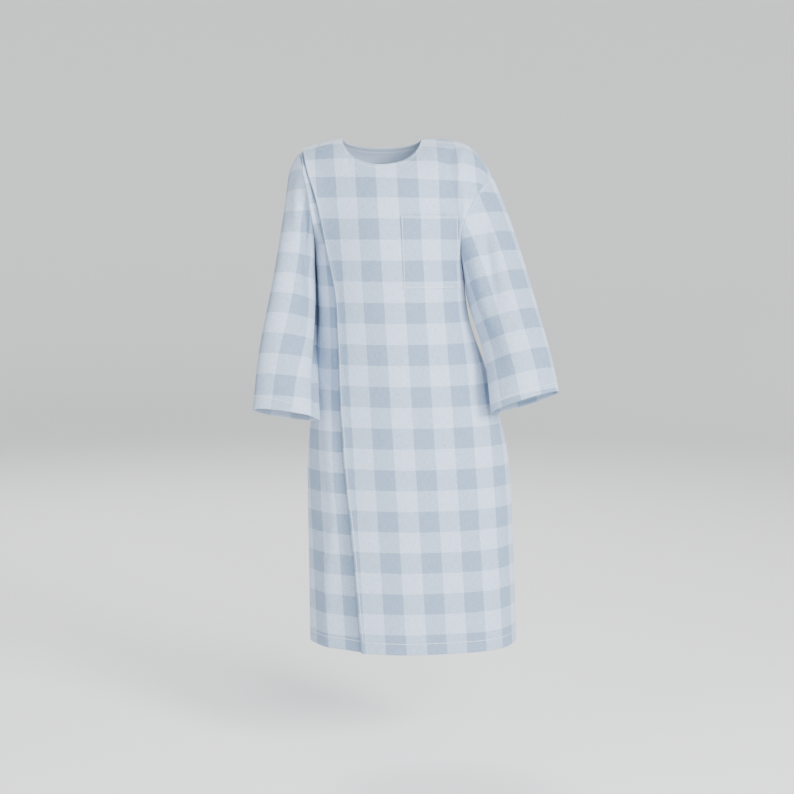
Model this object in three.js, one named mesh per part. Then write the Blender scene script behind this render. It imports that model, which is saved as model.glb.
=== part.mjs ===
// Child's patient gown: flannel panels, long loose sleeves, a front flap that wraps over on the
// wearer's right and closes with hidden press studs, a faced round neck and one chest pocket.
//
// Millimetres, +Z up. The front faces -Y and the wearer's left is +X. The origin is between the
// two points where the neck meets the shoulders, where the wearer's shoulders carry the gown.
// The gown stands as it hangs when worn.

import * as THREE from 'three';

// ---------------------------------------------------------------- driving sizes

const gownLength = 858; // from the neck point down to the hem
const chestWidth = 250; // across the body under the arms
const hemWidth = 357; // across the body at the hem
const hangLean = 53.5; // how far the hem hangs towards the wearer's left

const cloth = 1.2; // brushed flannel, with its nap
const facing = 0.8; // facing strips
const layerGap = 0.3; // between cloth layers that lie together
const seamGap = 0.6; // half of the gap between two sewn edges

const seamSquare = 14; // within this of the seams between front and back, layers lie square

const neckHalf = 66; // half the width of the neck opening
const neckDropFront = 45;
const neckDropBack = 14;

const rightShoulder = { reach: 141, drop: 19, curve: 1.6 }; // wearer's right, under the flap
const leftShoulder = { reach: 188, drop: 66, curve: 4 }; // wearer's left, dropped over the arm
const shoulderRound = 90; // height in which the chest and back round over to the shoulder line

const rightUnderarm = 180; // depth of the underarm points below the origin
const leftUnderarm = 212;
const armholeFront = 60; // how far the armholes open to the front and to the back
const armholeBack = 58;

const flapOverlap = 35; // width of cloth that lies double under the flap's edge
const pocket = { fromSide: 7.5, width: 96, top: 129, height: 121, lean: 5 }; // from the wearer's left side
const pocketStandOff = 2.8; // from the front panel's surface to the pocket's back
const armholeGap = 3; // between the body panels and the start of a sleeve

const stud = { radius: 4.4, plate: 1.2, flange: 0.6, bore: 2.6, boreDepth: 0.8 };
const ball = { radius: 2.0, height: 0.9 };
const studGap = 0.75; // between the stud halves, and between a stud and its cloth
const studSides = 12;

// Stations down the body, as shares of the gown's length: how much of the way the width has
// gone from chest to hem, how much of the lean is reached, and the front and back depths.
const stations = [
  { share: 0.0, wide: 0.0, lean: 0.1, front: 72, back: 66 },
  { share: 0.1, wide: 0.0, lean: 0.15, front: 84, back: 74 },
  { share: 0.22, wide: 0.0, lean: 0.23, front: 92, back: 79 },
  { share: 0.35, wide: 0.05, lean: 0.37, front: 97, back: 82 },
  { share: 0.47, wide: 0.45, lean: 0.62, front: 101, back: 88 },
  { share: 0.63, wide: 0.87, lean: 0.83, front: 106, back: 95 },
  { share: 0.82, wide: 0.96, lean: 0.93, front: 112, back: 103 },
  { share: 1.0, wide: 1.0, lean: 1.0, front: 116, back: 110 },
];

// The free edge of the flap, from the shoulder point to the hem: share of length, and x.
const flapEdgeLine = [
  [0.0, -137],
  [0.065, -124],
  [0.125, -108],
  [0.21, -92],
  [0.29, -79],
  [0.37, -74],
  [0.5, -70],
  [0.65, -62],
  [0.79, -49],
  [1.0, -34],
];

// The line that the flap turns about, straight down the middle of the front.
const foldTop = { x: -2, z: -neckDropFront };
const foldLean = 0.058;

// Outer lines of the sleeves after the armhole, as [x, z], down to the cuff. The inner lines are
// given as [gap from the side of the body, z], so that a sleeve hangs clear of it.
const rightSleeveOuter = [[-156, -58], [-166, -130], [-182, -235], [-203, -350], [-214, -450]];
const rightSleeveInner = [[13.2, -290], [4.2, -390], [-14.7, -466]];
const leftSleeveOuter = [[209, -116], [231, -180], [259, -278], [281, -360], [294, -420]];
const leftSleeveInner = [[2.7, -275], [4, -360], [-16, -455]];
const cuffForward = 85; // the arms hang forward, so the cuffs do
const cuffDepth = 40; // half the cuff's front to back size
const cuffTilt = 0.27; // the cuff's front edge is higher than its back edge

// Rows of the body panels, as shares of each column's length.
const rows = [0, 0.004, 0.012, 0.03, 0.05, 0.075, 0.1, 0.13, 0.16, 0.19, 0.25, 0.33, 0.41, 0.49,
  0.57, 0.65, 0.73, 0.81, 0.89, 0.95, 1];
const neckFacingRows = 3; // rows of panel that the neck facings reach down
const shoulderRows = 2; // rows that the doubled shoulder reaches down
const studRows = [2, 5, 8, 10, 12, 14, 16, 18]; // rows whose middle carries a press stud

// ---------------------------------------------------------------- depths through the layers

const facingTop = cloth + layerGap;
const facingEnd = facingTop + facing;
const socketTop = facingEnd + studGap;
const ballPlateTop = socketTop + stud.plate + studGap;
const underTop = ballPlateTop + stud.flange + studGap;

// ---------------------------------------------------------------- small maths

const degree = Math.PI / 180;

function smooth(value) {
  const v = Math.min(Math.max(value, 0), 1);
  return v * v * (3 - 2 * v);
}

function mix(a, b, share) {
  return a + (b - a) * share;
}

// A smooth curve through [position, value] pairs, read at one position.
function through(pairs, at) {
  const last = pairs.length - 1;
  const clamped = Math.min(Math.max(at, pairs[0][0]), pairs[last][0]);
  let i = 0;
  while (i < last - 1 && clamped > pairs[i + 1][0]) i += 1;
  const slope = (k) => {
    const a = pairs[Math.max(k - 1, 0)];
    const b = pairs[Math.min(k + 1, last)];
    return (b[1] - a[1]) / (b[0] - a[0]);
  };
  const [x0, y0] = pairs[i];
  const [x1, y1] = pairs[i + 1];
  const span = x1 - x0;
  const t = (clamped - x0) / span;
  const rise = y1 - y0;
  const m0 = slope(i) * span;
  const m1 = slope(i + 1) * span;
  return y0 + t * (m0 + t * (3 * rise - 2 * m0 - m1 + t * (m0 + m1 - 2 * rise)));
}

// ---------------------------------------------------------------- the body's outline

function station(name, z) {
  return through(stations.map((s) => [s.share, s[name]]), -z / gownLength);
}

function bodySide(side, z) {
  const half = mix(chestWidth, hemWidth, station('wide', z)) / 2;
  return hangLean * station('lean', z) + side * half;
}

function shoulderLine(x) {
  const shoulder = x < 0 ? rightShoulder : leftShoulder;
  const along = Math.max(Math.abs(x) - neckHalf, 0) / (shoulder.reach - neckHalf);
  return -shoulder.drop * along ** shoulder.curve;
}

// An armhole is a loop through its top, its underarm point and its front and back. It is round
// at the top and runs to a point at the underarm.
function armhole(side, reach, top, underarm, frontLean, backLean) {
  const topPoint = new THREE.Vector3(side * reach, 0, top);
  const lowPoint = new THREE.Vector3(bodySide(side, -underarm), 0, -underarm);
  const centre = topPoint.clone().add(lowPoint).multiplyScalar(0.5);
  const up = topPoint.clone().sub(lowPoint).multiplyScalar(0.5);
  const front = new THREE.Vector3(-side * frontLean, -armholeFront, 0);
  const back = new THREE.Vector3(-side * backLean, armholeBack, 0);
  return { side, topPoint, lowPoint, centre, up, front, back };
}

const rightArmhole = armhole(-1, rightShoulder.reach, shoulderLine(-rightShoulder.reach) - underTop,
  rightUnderarm, 6, 6);
const leftArmhole = armhole(1, leftShoulder.reach, shoulderLine(leftShoulder.reach),
  leftUnderarm, 26, 14);

// The share of its full width that an armhole has, from 1 at its top to -1 at its underarm.
function armholeWidth(along) {
  return Math.max(1 - along * along, 0) ** (along > 0 ? 0.5 : 0.9);
}

// Where a panel ends at one side, at one height: on the armhole, or at the side seam below it.
function panelEdge(hole, face, z) {
  const { topPoint, lowPoint, centre, up } = hole;
  if (z >= topPoint.z) return { x: topPoint.x, open: 0 };
  if (z <= lowPoint.z) return { x: bodySide(hole.side, z), open: 0 };
  const along = (z - centre.z) / up.z;
  const across = armholeWidth(along);
  const lean = face === 'front' ? hole.front : hole.back;
  return {
    x: centre.x + up.x * along + lean.x * across,
    open: Math.abs(lean.y) * across,
  };
}

// A point of the front or back at a height and at an angle round the body: -90 degrees at the
// wearer's right edge, 90 at the left edge. The seam's half gap keeps front and back apart.
function bodyPoint(face, angle, z) {
  const right = panelEdge(rightArmhole, face, z);
  const left = panelEdge(leftArmhole, face, z);
  const share = (Math.sin(angle) + 1) / 2;
  const x = mix(right.x, left.x, share);
  const below = Math.min(Math.max(shoulderLine(x) - z, 0) / shoulderRound, 1);
  const rounding = Math.sqrt(1 - (1 - below) ** 2);
  const crown = Math.cos(angle);
  const edgeOpen = mix(right.open, left.open, share) * (1 - crown) * (1 - smooth(crown));
  const depth = edgeOpen + station(face, z) * rounding * crown;
  const sign = face === 'front' ? -1 : 1;
  return new THREE.Vector3(x, sign * (depth + seamGap), z);
}

function bodyNormal(face, angle, z) {
  const turn = 0.4 * degree;
  const step = 0.4;
  const across = bodyPoint(face, angle + turn, z).sub(bodyPoint(face, angle - turn, z));
  const down = bodyPoint(face, angle, z - 2 * step).sub(bodyPoint(face, angle, z));
  const normal = down.cross(across);
  if (face === 'back') normal.negate();
  normal.y *= Math.min((Math.abs(bodyPoint(face, angle, z).y) - seamGap) / seamSquare, 1);
  return normal.normalize();
}

// The angle round the body of a line given by its x.
function angleAt(face, x, z) {
  const right = panelEdge(rightArmhole, face, z).x;
  const left = panelEdge(leftArmhole, face, z).x;
  const sine = (2 * (x - right)) / (left - right) - 1;
  return Math.asin(Math.min(Math.max(sine, -1), 1));
}

function topOf(face, x) {
  if (Math.abs(x) >= neckHalf) return shoulderLine(x);
  const drop = face === 'front' ? neckDropFront : neckDropBack;
  return -drop * Math.sqrt(1 - (x / neckHalf) ** 2);
}

// ---------------------------------------------------------------- columns of the panels

// A column is an angle round the body for each height. It starts at the neck or shoulder.
function columnTop(face, column) {
  let z = -neckDropBack;
  for (let i = 0; i < 60; i += 1) {
    z = mix(z, topOf(face, bodyPoint(face, column(z), z).x), 0.5);
  }
  return z;
}

const foldColumn = (shift) => (z) => angleAt('front', foldTop.x + shift + (foldTop.z - z) * foldLean, z);
const flapEdge = (z) => angleAt('front', through(flapEdgeLine, -z / gownLength), z);

// The line where the doubled cloth ends, a flap overlap in from the flap's edge.
function overlapColumn(shift) {
  return (z) => {
    const edge = flapEdge(z);
    const here = bodyPoint('front', edge, z);
    let angle = edge;
    while (bodyPoint('front', angle, z).distanceTo(here) < flapOverlap + shift) angle += 0.1 * degree;
    return angle;
  };
}

function between(a, b, share) {
  return (z) => mix(a(z), b(z), share);
}

const fixed = (angle) => () => angle;
const neckLeft = fixed(angleAt('front', neckHalf, 0));
const neckRightAngle = angleAt('front', -neckHalf, 0);
const overlapLine = overlapColumn(0);
const foldAngleTop = foldColumn(0)(0);
const overlapAngleTop = overlapLine(shoulderLine(-neckHalf - 30));
const neckRightShare = (neckRightAngle - foldAngleTop) / (overlapAngleTop - foldAngleTop);
const neckRight = between(foldColumn(0), overlapLine, neckRightShare);

// ---------------------------------------------------------------- shells

// A closed shell on rows and columns of surface points. Each point goes inwards along its
// normal by its near depth on the outer face and by its far depth on the inner face.
function shell(grid, closedRound) {
  const columns = grid.length;
  const rowCount = grid[0].length;
  const positions = [];
  const index = (i, j, inner) => ((i % columns) * rowCount + j) * 2 + inner;
  grid.flat().forEach(({ point, normal, near, far }) => {
    positions.push(...point.clone().addScaledVector(normal, -near));
    positions.push(...point.clone().addScaledVector(normal, -far));
  });
  const first = grid[0][0];
  const across = grid[1][0].point.clone().sub(first.point);
  const down = grid[0][1].point.clone().sub(first.point);
  const flip = across.cross(down).dot(first.normal) < 0;
  const faces = [];
  const quad = (a, b, c, d) => faces.push(a, b, c, a, c, d);
  const spans = closedRound ? columns : columns - 1;
  for (let i = 0; i < spans; i += 1) {
    for (let j = 0; j < rowCount - 1; j += 1) {
      quad(index(i, j, 0), index(i + 1, j, 0), index(i + 1, j + 1, 0), index(i, j + 1, 0));
      quad(index(i, j, 1), index(i, j + 1, 1), index(i + 1, j + 1, 1), index(i + 1, j, 1));
    }
    const end = rowCount - 1;
    quad(index(i, 0, 0), index(i, 0, 1), index(i + 1, 0, 1), index(i + 1, 0, 0));
    quad(index(i, end, 0), index(i + 1, end, 0), index(i + 1, end, 1), index(i, end, 1));
  }
  if (!closedRound) {
    const side = columns - 1;
    for (let j = 0; j < rowCount - 1; j += 1) {
      quad(index(0, j, 0), index(0, j + 1, 0), index(0, j + 1, 1), index(0, j, 1));
      quad(index(side, j, 0), index(side, j, 1), index(side, j + 1, 1), index(side, j + 1, 0));
    }
  }
  if (flip) faces.reverse();
  const geometry = new THREE.BufferGeometry();
  geometry.setAttribute('position', new THREE.Float32BufferAttribute(positions, 3));
  geometry.setIndex(faces);
  geometry.computeVertexNormals();
  return geometry;
}

// Surface points of a body panel. The depth of each point under the body's outer surface is
// near(column share, row share, point), and the panel is thick.
function panelGrid(face, columns, rowShares, near, thick) {
  return columns.map((column, i) => {
    const top = columnTop(face, column);
    return rowShares.map((share) => {
      const z = mix(top, -gownLength, share);
      const angle = column(z);
      const point = bodyPoint(face, angle, z);
      const depth = near(i / (columns.length - 1), share, point);
      return { point, normal: bodyNormal(face, angle, z), near: depth, far: depth + thick };
    });
  });
}

const flat = (depth) => () => depth;

// ---------------------------------------------------------------- the sleeves

function sleeveGrid(hole, outerLine, innerLine, around, stepsDown) {
  const start = new THREE.Vector3(hole.side * armholeGap, 0, 0);
  const lift = (points, from) => new THREE.CatmullRomCurve3([
    from.clone().add(start),
    ...points.map(([x, z]) => {
      const share = smooth((from.z - z) / (from.z - points[points.length - 1][1]));
      return new THREE.Vector3(x, -cuffForward * share, z);
    }),
  ]);
  const outer = lift(outerLine, hole.topPoint);
  const inner = lift(innerLine, hole.lowPoint);
  const cuffFront = new THREE.Vector3(0, -1, cuffTilt).normalize().multiplyScalar(cuffDepth);
  const cuffBack = cuffFront.clone().negate();
  const at = (angle, share) => {
    const a = outer.getPoint(share);
    const b = inner.getPoint(share);
    const centre = a.clone().add(b).multiplyScalar(0.5);
    const up = a.sub(b).multiplyScalar(0.5);
    const depth = Math.sin(angle) > 0
      ? hole.front.clone().lerp(cuffFront, share)
      : hole.back.clone().lerp(cuffBack, share).negate();
    const along = Math.cos(angle);
    const round = Math.abs(Math.sin(angle));
    const across = Math.sign(Math.sin(angle)) * mix(armholeWidth(along), round, share);
    return centre.addScaledVector(up, along).addScaledVector(depth, across);
  };
  const grid = [];
  for (let i = 0; i < around; i += 1) {
    const angle = (i / around) * 2 * Math.PI;
    const column = [];
    for (let j = 0; j <= stepsDown; j += 1) {
      const share = j / stepsDown;
      const turned = at(angle + 0.01, share).sub(at(angle - 0.01, share));
      const low = Math.max(share - 0.005, 0);
      const along = at(angle, Math.min(low + 0.01, 1)).sub(at(angle, low));
      const normal = turned.cross(along).normalize().multiplyScalar(-hole.side);
      column.push({ point: at(angle, share), normal, near: 0, far: cloth });
    }
    grid.push(column);
  }
  return grid;
}

// ---------------------------------------------------------------- press studs

// The socket half hangs under the flap. Its recess faces the body.
function socketGeometry() {
  const { radius, plate, bore, boreDepth } = stud;
  const profile = [[0, 0], [radius - 0.4, 0], [radius, -0.4], [radius, -plate], [bore, -plate],
    [bore, -plate + boreDepth], [0, -plate + boreDepth]];
  return latheOf(profile);
}

// The ball half sits on the cloth under the flap. Its ball stands up into the socket.
function ballGeometry() {
  const { radius, flange } = stud;
  const profile = [[0, ball.height], [ball.radius * 0.7, ball.height], [ball.radius, ball.height * 0.6],
    [ball.radius * 0.85, 0], [radius - 0.3, 0], [radius, -flange], [0, -flange]];
  return latheOf(profile);
}

// A closed turned shape about Z from a profile that runs from top to bottom.
function latheOf(profile) {
  const points = profile.map(([r, h]) => new THREE.Vector2(r, h)).reverse();
  return new THREE.LatheGeometry(points, studSides).rotateX(Math.PI / 2);
}

// ---------------------------------------------------------------- building the gown

const flannel = () => new THREE.MeshStandardMaterial({ color: '#c2ccd7', roughness: 0.95, metalness: 0 });
const facingCloth = () => new THREE.MeshStandardMaterial({ color: '#cdd6df', roughness: 0.95, metalness: 0 });
const studPlastic = () => new THREE.MeshStandardMaterial({ color: '#dfe5ea', roughness: 0.35, metalness: 0 });

const gown = new THREE.Group();

function add(name, geometry, material) {
  const mesh = new THREE.Mesh(geometry, material);
  mesh.name = name;
  gown.add(mesh);
  return mesh;
}

function spread(from, to, shares) {
  return shares.map((share) => between(from, to, share));
}

function addBackPanel() {
  const edgeRight = fixed(-90 * degree);
  const edgeLeft = fixed(90 * degree);
  const neckR = fixed(neckRightAngle);
  const columns = [
    ...spread(edgeRight, neckR, [0, 0.22, 0.44, 0.66, 0.84]),
    ...spread(neckR, neckLeft, [0, 0.06, 0.2, 0.4, 0.6, 0.8, 0.94]),
    ...spread(neckLeft, edgeLeft, [0, 0.2, 0.4, 0.6, 0.8, 1]),
  ];
  // Behind the wearer's right shoulder the back dips, because the flap lies over it.
  const near = (_, share, point) => {
    const outwards = smooth((-neckHalf - point.x) / 16);
    return underTop * outwards * (1 - smooth(share / 0.06));
  };
  add('back_panel', shell(panelGrid('back', columns, rows, near, cloth)), flannel());
}

function addFrontPanel() {
  const edge = fixed(90 * degree);
  const columns = [
    ...spread(foldColumn(seamGap), neckLeft, [0, 0.3, 0.6, 0.85]),
    ...spread(neckLeft, edge, [0, 0.2, 0.4, 0.6, 0.8, 1]),
  ];
  add('front_panel', shell(panelGrid('front', columns, rows, flat(0), cloth)), flannel());
}

const flapShares = [0, 0.3, 0.6, 0.85, 1].map((share) => share * neckRightShare);

function addFrontFlap() {
  const columns = [
    ...spread(foldColumn(-seamGap), overlapLine, [...flapShares, 1]),
    flapEdge,
  ];
  add('front_flap', shell(panelGrid('front', columns, rows, flat(0), cloth)), flannel());
}

function addSideFront() {
  const edge = fixed(-90 * degree);
  const columns = [overlapColumn(-seamGap), ...spread(flapEdge, edge, [0, 0.25, 0.5, 0.75, 1])];
  const firstShare = 1 / 5;
  const near = (columnShare, share) => {
    const towardsEdge = smooth((columnShare - firstShare) / (1 - firstShare));
    const atTop = 1 - smooth(share / 0.06);
    return underTop * Math.max(1 - towardsEdge, atTop);
  };
  add('side_front', shell(panelGrid('front', columns, rows, near, cloth)), flannel());
}

function addDoubledShoulder() {
  const columns = spread(neckRight, overlapColumn(seamGap), [0.03, 1]);
  const short = rows.slice(0, shoulderRows + 1);
  add('shoulder_underlap', shell(panelGrid('front', columns, short, flat(underTop), cloth)), flannel());
  add('flap_shoulder_facing', shell(panelGrid('front', columns, short, flat(facingTop), facing)),
    facingCloth());
  const edging = [overlapLine, flapEdge];
  add('flap_edge_facing', shell(panelGrid('front', edging, rows, flat(facingTop), facing)),
    facingCloth());
}

function addNeckFacings() {
  const short = rows.slice(0, neckFacingRows + 1);
  const flapSide = spread(foldColumn(-seamGap), overlapLine, flapShares);
  const fixedSide = spread(foldColumn(seamGap), neckLeft, [0, 0.3, 0.6, 0.85, 1]);
  const backSide = spread(fixed(neckRightAngle), neckLeft, [0.06, 0.2, 0.4, 0.6, 0.8, 0.94, 1]);
  const facingFor = (face, columns) => shell(panelGrid(face, columns, short, flat(facingTop), facing));
  add('neck_facing_flap', facingFor('front', flapSide), facingCloth());
  add('neck_facing_front', facingFor('front', fixedSide), facingCloth());
  add('neck_facing_back', facingFor('back', backSide), facingCloth());
}

function addPocket() {
  const rightEdge = bodySide(1, -pocket.top) - pocket.fromSide;
  const leftEdge = rightEdge - pocket.width;
  const across = Array.from({ length: 11 }, (_, i) => i / 10);
  const downwards = Array.from({ length: 11 }, (_, i) => i / 10);
  const standOff = cloth + pocketStandOff;
  const grid = across.map((u) => downwards.map((v) => {
    const z = -pocket.top - pocket.height * v;
    const x = mix(leftEdge, rightEdge, u) + pocket.lean * v;
    const angle = angleAt('front', x, z);
    return {
      point: bodyPoint('front', angle, z),
      normal: bodyNormal('front', angle, z),
      near: -standOff,
      far: cloth - standOff,
    };
  }));
  add('chest_pocket', shell(grid), flannel());
}

function addSleeves() {
  const besideBody = (side, line) => line.map(([gap, z]) => [bodySide(side, z) + side * gap, z]);
  const around = 20;
  const stepsDown = 12;
  add('right_sleeve', shell(sleeveGrid(rightArmhole, rightSleeveOuter,
    besideBody(-1, rightSleeveInner), around,
    stepsDown), true), flannel());
  add('left_sleeve', shell(sleeveGrid(leftArmhole, leftSleeveOuter,
    besideBody(1, leftSleeveInner), around,
    stepsDown), true), flannel());
}

// A pair of stud halves in the middle of one field between two columns and two rows, square to
// the field half way between the flap's facing and the cloth under it.
function addStud(name, columns, row) {
  const middle = (facingEnd + underTop) / 2;
  const grid = panelGrid('front', columns, rows.slice(row, row + 2), flat(0), cloth);
  const corners = grid.flat().map(({ point, normal }) => point.addScaledVector(normal, -middle));
  const [outerHigh, outerLow, innerHigh, innerLow] = corners;
  const place = outerHigh.clone().lerp(innerLow, 0.5);
  const slant = innerLow.clone().sub(outerHigh);
  const normal = innerHigh.clone().sub(outerLow).cross(slant).normalize();
  if (normal.y > 0) normal.negate();
  const turn = new THREE.Quaternion().setFromUnitVectors(new THREE.Vector3(0, 0, 1), normal);
  const seat = (mesh, depth) => {
    mesh.quaternion.copy(turn);
    mesh.position.copy(place).addScaledVector(normal, middle - depth);
  };
  seat(add(`stud_socket_${name}`, socketGeometry(), studPlastic()), socketTop);
  seat(add(`stud_ball_${name}`, ballGeometry(), studPlastic()), ballPlateTop);
}

function addStuds() {
  addStud('shoulder', [neckRight, overlapLine], 1);
  studRows.forEach((row, i) => addStud(`side_${i + 1}`, [overlapLine, flapEdge], row));
}

addBackPanel();
addFrontPanel();
addFrontFlap();
addSideFront();
addDoubledShoulder();
addNeckFacings();
addPocket();
addSleeves();
addStuds();

export default gown;
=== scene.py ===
"""A child's patient gown in checked flannel, hanging as it is worn.

Every sheet of cloth is laid on one surface, the outside of the body of the gown, at its own
depth, so that the layers follow each other and never meet. Metres, +Z up, front to -Y.
"""

import bpy
import bmesh
import math
import numpy as np
from mathutils import Matrix, Vector


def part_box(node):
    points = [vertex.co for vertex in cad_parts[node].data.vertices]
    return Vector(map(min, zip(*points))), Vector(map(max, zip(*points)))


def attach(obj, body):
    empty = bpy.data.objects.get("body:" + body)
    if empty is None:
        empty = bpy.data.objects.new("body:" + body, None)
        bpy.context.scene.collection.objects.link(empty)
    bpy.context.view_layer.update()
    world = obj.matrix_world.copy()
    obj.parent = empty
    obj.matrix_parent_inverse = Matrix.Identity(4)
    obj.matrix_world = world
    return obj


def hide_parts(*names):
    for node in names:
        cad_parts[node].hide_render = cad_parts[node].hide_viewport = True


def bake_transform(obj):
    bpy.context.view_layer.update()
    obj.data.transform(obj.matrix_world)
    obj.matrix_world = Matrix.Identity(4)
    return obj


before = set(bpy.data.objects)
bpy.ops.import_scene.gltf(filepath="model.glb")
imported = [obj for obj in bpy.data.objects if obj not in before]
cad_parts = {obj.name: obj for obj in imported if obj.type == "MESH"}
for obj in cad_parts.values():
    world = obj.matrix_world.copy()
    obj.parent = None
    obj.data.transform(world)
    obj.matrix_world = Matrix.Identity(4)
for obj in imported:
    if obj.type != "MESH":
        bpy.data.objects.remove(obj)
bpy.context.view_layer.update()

MM = 0.001
DEG = math.radians(1)

# ---------------------------------------------------------------- sizes of the gown

GOWN_LENGTH = -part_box("back_panel")[0].z
CHEST_WIDTH = 250 * MM
HEM_WIDTH = 357 * MM
HANG_LEAN = 53.5 * MM  # the hem hangs towards the wearer's left
NECK_HALF = 66 * MM
NECK_DROP = {"front": 45 * MM, "back": 14 * MM}
SHOULDER = {  # how far out each shoulder reaches, how far it drops, and how late it drops
    "right": (141 * MM, 19 * MM, 1.6),
    "left": (188 * MM, 66 * MM, 4.0),
}
SHOULDER_ROUND = 90 * MM
UNDERARM = {"right": 180 * MM, "left": 212 * MM}
ARMHOLE_OPEN = {"front": 60 * MM, "back": 58 * MM}
ARMHOLE_LEAN = {
    ("right", "front"): 6 * MM,
    ("right", "back"): 6 * MM,
    ("left", "front"): 26 * MM,
    ("left", "back"): 14 * MM,
}
FLAP_OVERLAP = 35 * MM
POCKET_FROM_SIDE, POCKET_WIDTH = 7.5 * MM, 96 * MM
POCKET_TOP, POCKET_HEIGHT, POCKET_LEAN = 129 * MM, 121 * MM, 5 * MM

FLANNEL = 0.9 * MM  # one layer with its nap pressed down
FACING = 0.6 * MM
FACING_DEPTH = 1.5 * MM  # facings lie this far under the outside
UNDER_DEPTH = 6.35 * MM  # the cloth under the flap, with a press stud's height between
HEM_DEPTH = 22 * MM
FACING_WIDTH = 26 * MM  # of the strips that face the neck
EDGE_STITCH = 6 * MM  # from a faced edge to its line of stitches
STITCH_LENGTH = 3 * MM
THREAD_SHOWS = 2.2 * MM  # of each stitch, before the thread dips into the cloth
FRONT_ACROSS = 350 * MM  # from the flap's free edge to the wearer's left side
SEAM_HALF = 0.35 * MM

# Share of the length: width from chest to hem, lean, front depth and back depth.
STATIONS = np.array(
    [
        (0.0, 0.0, 0.10, 0.072, 0.066),
        (0.1, 0.0, 0.15, 0.084, 0.074),
        (0.22, 0.0, 0.23, 0.092, 0.079),
        (0.35, 0.05, 0.37, 0.097, 0.082),
        (0.47, 0.45, 0.62, 0.101, 0.088),
        (0.63, 0.87, 0.83, 0.106, 0.095),
        (0.82, 0.96, 0.93, 0.112, 0.103),
        (1.0, 1.0, 1.0, 0.116, 0.110),
    ]
)
WIDE, LEAN, DEPTH = 1, 2, {"front": 3, "back": 4}

FLAP_EDGE = np.array(  # share of the length, and x in millimetres, of the flap's free edge
    [
        (0.0, -137),
        (0.065, -124),
        (0.125, -108),
        (0.21, -92),
        (0.29, -79),
        (0.37, -74),
        (0.5, -70),
        (0.65, -62),
        (0.79, -49),
        (1.0, -34),
    ]
)

# Outer and inner lines of the sleeves in millimetres, as x and z, from armhole to cuff.
SLEEVE_OUTER = {
    "right": [(-156, -58), (-166, -130), (-182, -235), (-203, -350), (-214, -450)],
    "left": [(209, -116), (231, -180), (259, -278), (281, -360), (294, -420)],
}
SLEEVE_INNER = {
    "right": [(-106, -290), (-106, -390), (-101, -466)],
    "left": [(146, -275), (171, -360), (181, -455)],
}
CUFF_FORWARD, CUFF_HALF, CUFF_TILT = 85 * MM, 40 * MM, 0.27
INNER_LATE = {"right": 2.6, "left": 1.0}  # how late the inner line comes forward
INNER_BACK = {"right": 22 * MM, "left": 0.0}  # how far behind the arm it runs on the way

CHECK = 69 * MM  # one dark and one light band together
SLEEVE_CHECK = {"right": (-CHECK / 2, -6 * MM), "left": (0.0, 0.0)}  # how each sleeve was cut
SIDE_CHECK = (-8 * MM, 9 * MM)  # the side strip is cut a little out of step with the flap
GRAIN_X, GRAIN_Z, GRAIN_LEAN = 9 * MM, -79 * MM, 0.0645  # the middle of a light band
ROW_PHASE = 82.5 * MM  # depth of the middle of a dark row


# ---------------------------------------------------------------- the surface of the body


def smooth(value):
    v = np.clip(value, 0, 1)
    return v * v * (3 - 2 * v)


def through(positions, values, at):
    """A smooth curve through the values at the positions, read at many places."""
    positions = np.asarray(positions, float)
    values = np.asarray(values, float)
    at = np.clip(at, positions[0], positions[-1])
    slopes = np.gradient(values) / np.gradient(positions)
    i = np.clip(np.searchsorted(positions, at, side="right") - 1, 0, len(positions) - 2)
    span = positions[i + 1] - positions[i]
    t = (at - positions[i]) / span
    rise = values[i + 1] - values[i]
    m0, m1 = slopes[i] * span, slopes[i + 1] * span
    return values[i] + t * (m0 + t * (3 * rise - 2 * m0 - m1 + t * (m0 + m1 - 2 * rise)))


def station(column, z):
    return through(STATIONS[:, 0], STATIONS[:, column], -z / GOWN_LENGTH)


def body_side(side, z):
    half = (CHEST_WIDTH + (HEM_WIDTH - CHEST_WIDTH) * station(WIDE, z)) / 2
    return HANG_LEAN * station(LEAN, z) + (half if side == "left" else -half)


def shoulder_line(x):
    drops = []
    for side in ("right", "left"):
        reach, drop, curve = SHOULDER[side]
        along = np.clip(np.abs(x) - NECK_HALF, 0, None) / (reach - NECK_HALF)
        drops.append(-drop * along**curve)
    return np.where(x < 0, drops[0], drops[1])


def armhole_ends(side):
    """The top of an armhole and its underarm point, as x and z."""
    reach, _, _ = SHOULDER[side]
    sign = 1 if side == "left" else -1
    top = float(shoulder_line(np.array(sign * reach)))
    if side == "right":
        top -= UNDER_DEPTH
    low = -UNDERARM[side]
    return (sign * reach, top), (float(body_side(side, np.array(low))), low)


def armhole_width(along):
    return np.clip(1 - along * along, 0, None) ** np.where(along > 0, 0.5, 0.9)


def panel_edge(side, face, z):
    """Where a panel ends at one side: x, and how far the armhole stands open there."""
    (top_x, top_z), (low_x, low_z) = armhole_ends(side)
    along = np.clip((z - (top_z + low_z) / 2) / ((top_z - low_z) / 2), -1, 1)
    across = armhole_width(along)
    inward = -1 if side == "left" else 1
    on_hole = (top_x + low_x) / 2 + (top_x - low_x) / 2 * along
    on_hole = on_hole + inward * ARMHOLE_LEAN[side, face] * across
    x = np.where(z >= top_z, top_x, np.where(z <= low_z, body_side(side, z), on_hole))
    return x, ARMHOLE_OPEN[face] * across


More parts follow.
